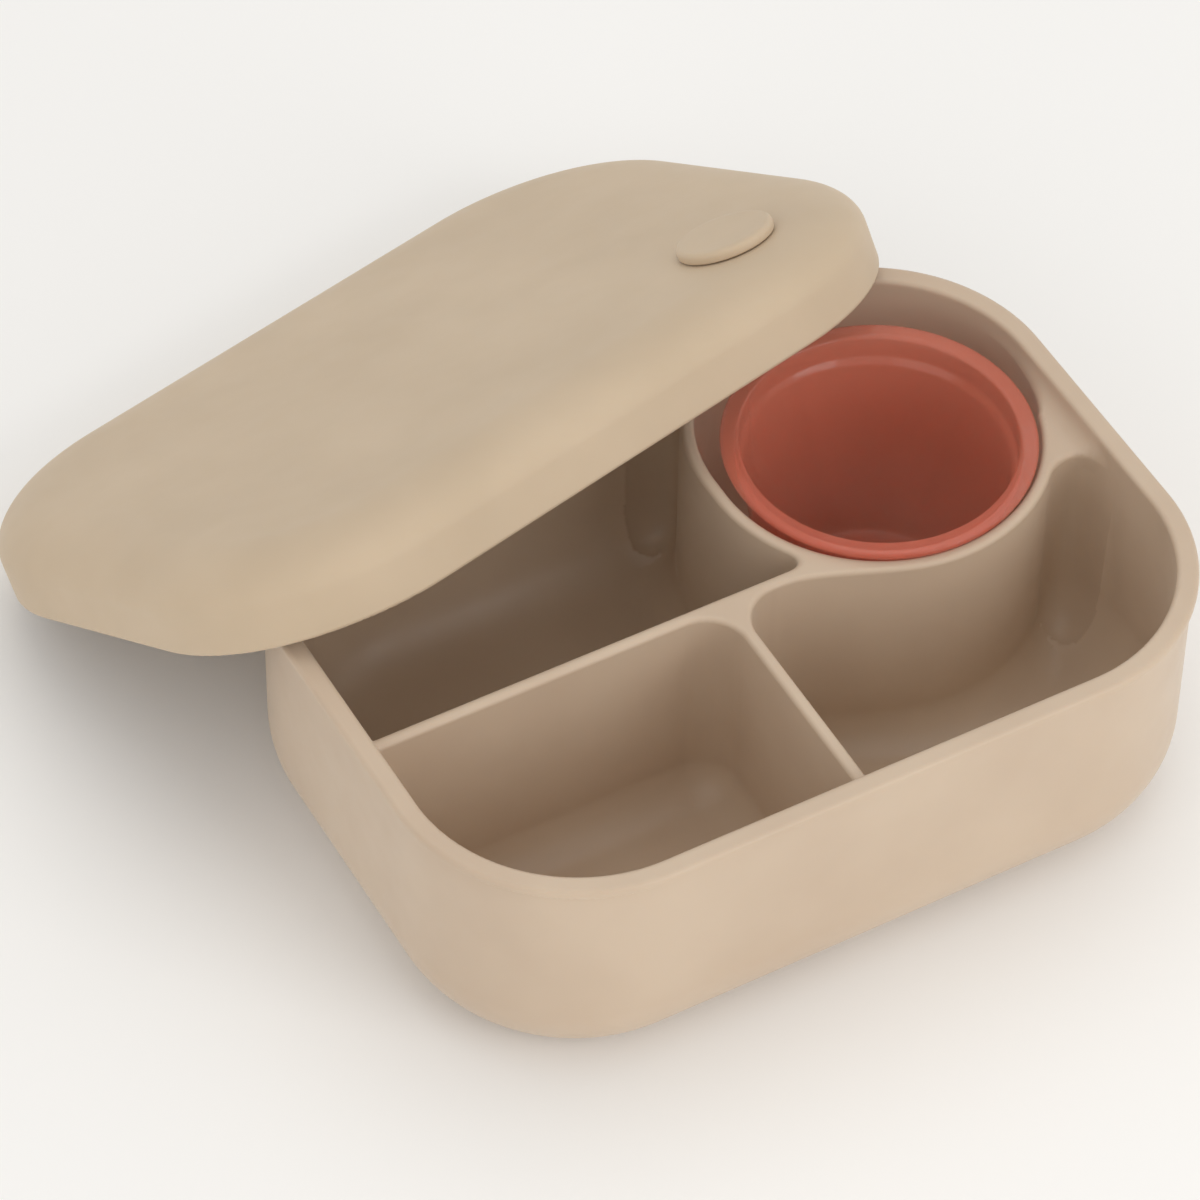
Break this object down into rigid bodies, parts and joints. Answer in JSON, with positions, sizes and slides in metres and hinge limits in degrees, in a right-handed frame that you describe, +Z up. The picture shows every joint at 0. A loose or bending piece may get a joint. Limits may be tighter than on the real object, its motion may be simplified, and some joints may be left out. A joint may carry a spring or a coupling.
{
  "type": "bento box",
  "caption": "Moulded silicone bento box with a rounded rim, dividers, a round pocket with a clear dip cup, and its lid with a vent plug leaning on the back rim.",
  "frame": {"origin": "middle of the flat underside of the tray, on the table", "axes": "+X along the tray's long side, +Y towards the back where the lid leans, +Z up"},
  "size_m": [0.2309, 0.2481, 0.0916],
  "materials": {
    "tray_silicone": "satin moulded silicone",
    "lid_silicone": "matte moulded silicone",
    "plug_silicone": "matte moulded silicone",
    "cup_plastic": "clear coral polypropylene"
  },
  "bodies": {
    "tray": {"tray": "tray_silicone"},
    "lid": {"lid": "lid_silicone"},
    "vent_plug": {"vent_plug": "plug_silicone"},
    "dip_cup": {"dip_cup": "cup_plastic"}
  },
  "joints": [
    {"name": "lid_lift", "type": "slide", "parent": "tray", "child": "lid", "axis": [0, 0, 1], "range_m": [0, 0.12]},
    {"name": "vent_pull", "type": "slide", "parent": "lid", "child": "vent_plug", "axis": [-0.1124, 0.5072, 0.8545], "range_m": [0, 0.004]},
    {"name": "cup_lift", "type": "slide", "parent": "tray", "child": "dip_cup", "axis": [0, 0, 1], "range_m": [0, 0.0095]}
  ]
}
